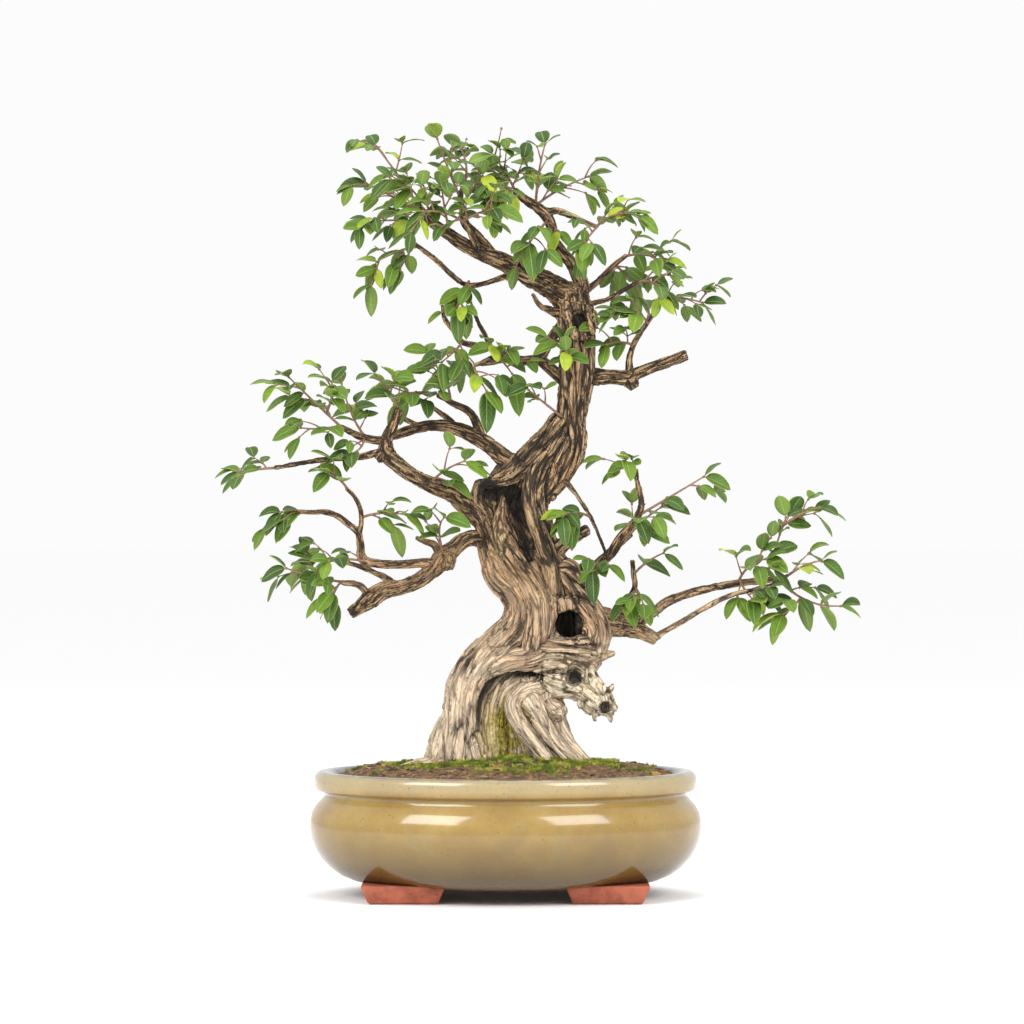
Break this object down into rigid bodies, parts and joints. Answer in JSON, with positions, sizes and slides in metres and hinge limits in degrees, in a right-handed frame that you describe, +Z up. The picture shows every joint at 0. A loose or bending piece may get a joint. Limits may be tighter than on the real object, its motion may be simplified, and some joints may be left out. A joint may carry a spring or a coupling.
{
  "type": "japanese honeysuckle bonsai",
  "caption": "Bonsai tree with a twisted, hollow trunk, bleached dead wood and leafy shoots, planted in soil in an oval glazed pot on low feet.",
  "frame": {"origin": "middle of the part's box at the level of the feet's undersides; the pot's centre is 28 mm to its left", "axes": "+X to the right as seen from the front, +Y away from the front, +Z up"},
  "size_m": [0.5055, 0.2414, 0.6083],
  "materials": {
    "pot_glaze": "glossy tan and olive glaze on the body and rim, bare matte red clay on the feet",
    "drain_screen": "matte black plastic",
    "soil": "damp crumbly soil with moss and bark litter",
    "bark": "rough peeling bark in long strands, bleached bare wood in places",
    "leaf": "satin green leaf, paler underneath"
  },
  "bodies": {
    "root": {"pot": "pot_glaze", "drain_screen_left": "drain_screen", "drain_screen_right": "drain_screen", "soil": "soil", "tree_wood": "bark", "spray_apex_1": "leaf", "spray_apex_2": "leaf", "spray_apex_3": "leaf", "spray_apex_6": "leaf", "spray_apex_7": "leaf", "spray_apex_8": "leaf", "spray_apex_9": "leaf", "spray_apex_11": "leaf", "spray_apex_14": "leaf", "spray_crown_1": "leaf", "spray_crown_3": "leaf", "spray_crown_4": "leaf", "spray_crown_6": "leaf", "spray_drooping_1": "leaf", "spray_drooping_2": "leaf", "spray_right_1": "leaf", "spray_right_3": "leaf", "spray_right_4": "leaf", "spray_right_6": "leaf", "spray_climb_1": "leaf", "spray_climb_2": "leaf", "spray_climb_3": "leaf", "spray_fork_1": "leaf", "spray_fork_2": "leaf", "spray_fork_3": "leaf", "spray_fork_4": "leaf", "spray_trunk_shoot_1": "leaf", "spray_trunk_shoot_2": "leaf", "spray_left_1": "leaf", "spray_left_2": "leaf", "spray_left_3": "leaf", "spray_left_4": "leaf", "spray_left_5": "leaf", "spray_left_7": "leaf", "spray_far_left": "leaf", "spray_low_1": "leaf", "spray_low_2": "leaf", "spray_low_3": "leaf", "spray_low_4": "leaf", "spray_low_6": "leaf", "spray_low_7": "leaf", "spray_low_8": "leaf", "spray_low_5": "leaf", "spray_pad_1": "leaf", "spray_pad_2": "leaf", "spray_pad_3": "leaf", "spray_pad_4": "leaf", "spray_pad_5": "leaf", "spray_pad_6": "leaf", "spray_pad_7": "leaf", "spray_pad_8": "leaf", "spray_far_right_1": "leaf", "spray_far_right_2": "leaf", "spray_far_right_3": "leaf", "spray_far_right_4": "leaf"}
  },
  "joints": []
}
